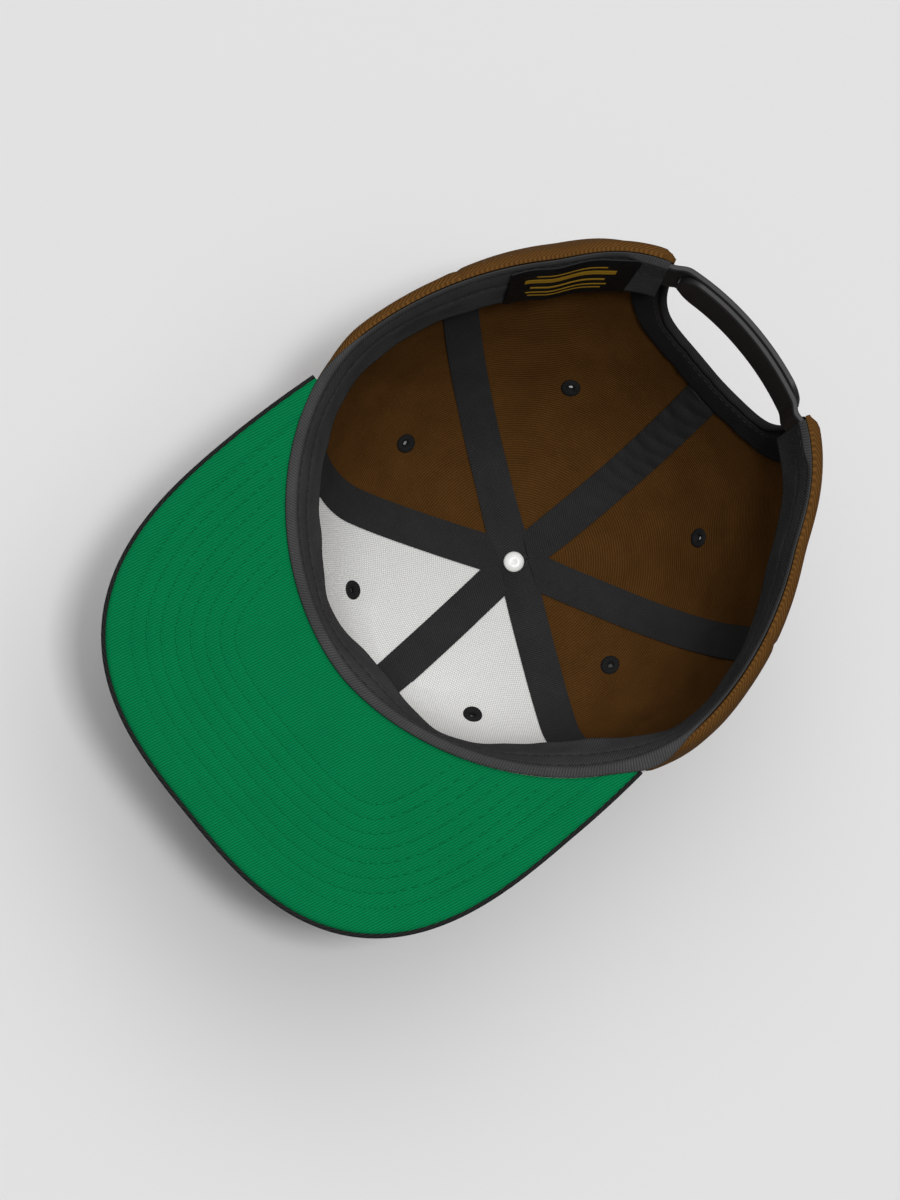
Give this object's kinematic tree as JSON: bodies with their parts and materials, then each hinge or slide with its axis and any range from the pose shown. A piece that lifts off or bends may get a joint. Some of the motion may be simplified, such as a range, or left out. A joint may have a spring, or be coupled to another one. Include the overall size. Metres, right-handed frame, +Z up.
{
  "type": "snapback cap",
  "caption": "Flat-brimmed snapback cap lying upside down on its crown, with a hollow crown of panels, taped seams, a sweatband and a snap strap.",
  "frame": {"origin": "middle of the flattened patch of crown that the cap rests on", "axes": "+Z up, out of the upturned crown; -Y towards the brim's tip; +X towards the wearer's right"},
  "size_m": [0.1906, 0.2606, 0.1432],
  "materials": {
    "white_cloth": "matte plain weave",
    "brown_cloth": "matte twill",
    "black_cloth": "matte twill",
    "black_satin": "satin weave",
    "green_cloth": "matte twill",
    "black_plastic": "satin",
    "white_enamel": "gloss"
  },
  "bodies": {
    "root": {"panel_front_right": "white_cloth", "eyelet_front_right": "black_cloth", "panel_side_right": "brown_cloth", "eyelet_side_right": "black_cloth", "panel_back_right": "brown_cloth", "eyelet_back_right": "black_cloth", "panel_back_left": "brown_cloth", "eyelet_back_left": "black_cloth", "panel_side_left": "brown_cloth", "eyelet_side_left": "black_cloth", "panel_front_left": "white_cloth", "eyelet_front_left": "black_cloth", "tape_long": "black_cloth", "tape_front": "black_cloth", "tape_left_front": "black_cloth", "tape_right_rear": "black_cloth", "tape_back": "black_cloth", "opening_binding": "black_cloth", "sweatband": "black_cloth", "label": "black_satin", "visor_top": "black_cloth", "visor_under": "green_cloth", "strap_holes": "black_plastic", "strap_pegs": "black_plastic", "crown_button": "brown_cloth", "crown_rivet": "white_enamel"}
  },
  "joints": []
}
